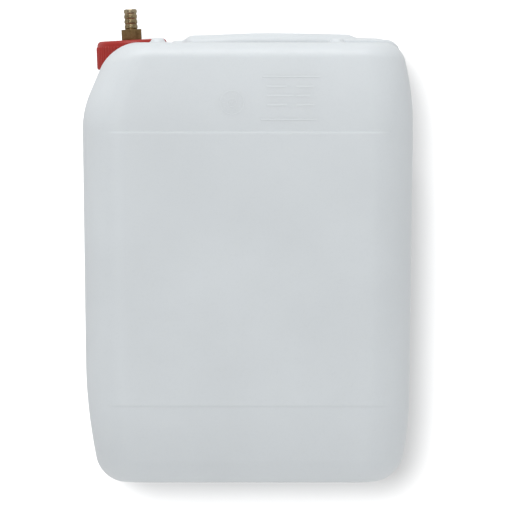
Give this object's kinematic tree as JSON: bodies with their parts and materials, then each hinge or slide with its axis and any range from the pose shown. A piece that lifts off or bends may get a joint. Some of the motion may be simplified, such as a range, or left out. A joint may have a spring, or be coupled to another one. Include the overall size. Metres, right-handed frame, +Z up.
{
  "type": "detergent dispenser canister",
  "caption": "Upright plastic detergent canister with a carrying handle, a vented screw cap and a barbed suction fitting with dip tube and foot valve.",
  "frame": {"origin": "centre of the base, on the surface the canister stands on", "axes": "+Z up, +X along the broad side away from the neck, -Y out of the broad front face"},
  "size_m": [0.2312, 0.186, 0.3308],
  "materials": {
    "natural_hdpe": "matte",
    "red_cap": "satin",
    "seal_foam": "matte",
    "brass": "machined",
    "black_rubber": "matte",
    "stainless": "satin",
    "clear_tube": "gloss",
    "grey_pp": "matte",
    "ceramic": "polished",
    "white_pp": "matte"
  },
  "bodies": {
    "canister": {"canister": "natural_hdpe"},
    "seal": {"cap_seal": "seal_foam"},
    "cap": {"screw_cap": "red_cap", "hose_barb": "brass", "inner_washer": "black_rubber", "flat_washer": "stainless", "lock_nut": "brass", "hose_tail": "brass", "dip_tube": "clear_tube", "tube_clips": "stainless", "foot_weight": "stainless", "foot_valve_body": "grey_pp", "valve_seat": "black_rubber", "ball_retainer": "white_pp", "strainer_cage": "grey_pp", "strainer_screen": "stainless", "vent_plug": "grey_pp", "vent_membrane": "white_pp"},
    "ball": {"valve_ball": "ceramic"}
  },
  "joints": [
    {"name": "cap_lift", "type": "slide", "parent": "canister", "child": "seal", "axis": [-0.0523, 0, 0.9986], "range_m": [0, 0.01]},
    {"name": "cap_turn", "type": "hinge", "parent": "seal", "child": "cap", "pos_m": [-0.0811, 0, 0.3044], "axis": [-0.0523, 0, 0.9986], "range_deg": [0, 900.1]},
    {"name": "ball_lift", "type": "slide", "parent": "cap", "child": "ball", "axis": [-0.0523, 0, 0.9986], "range_m": [0, 0.0027]}
  ],
  "couplings": [
    {"joint": "cap_turn", "follows": "cap_lift", "rad_per_m": 1570.8}
  ]
}
